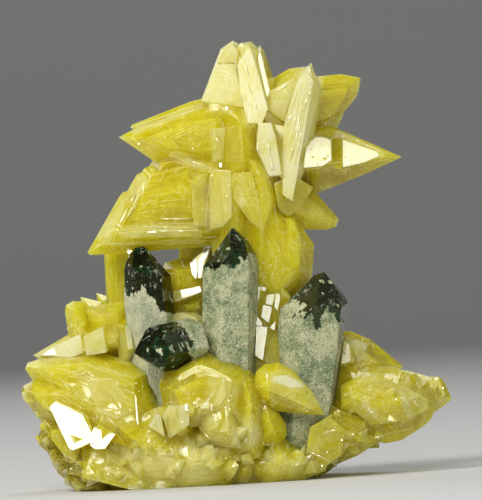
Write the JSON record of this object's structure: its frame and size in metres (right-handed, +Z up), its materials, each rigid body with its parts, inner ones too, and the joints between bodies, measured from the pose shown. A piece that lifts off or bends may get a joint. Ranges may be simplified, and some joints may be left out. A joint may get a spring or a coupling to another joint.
{
  "type": "sulfur crystal cluster with quartz",
  "caption": "Free-standing mineral specimen: intergrown yellow sulfur crystals spraying from a waisted, flat-cut base, with pointed dark quartz prisms standing in it.",
  "frame": {"origin": "middle of the specimen's width and depth, on the flat underside it rests on", "axes": "+Z up, -Y towards the viewer of the display side, +X to that viewer's right"},
  "size_m": [0.0858, 0.045, 0.0881],
  "materials": {
    "sulfur": "translucent yellow crystal with bright flat faces, paler on the crown",
    "quartz": "dark green glassy tips over a dull grey-green mineral crust"
  },
  "bodies": {
    "root": {"sulfur_cluster": "sulfur", "quartz_tall": "quartz", "quartz_left": "quartz", "quartz_right": "quartz", "quartz_small": "quartz"}
  },
  "joints": []
}
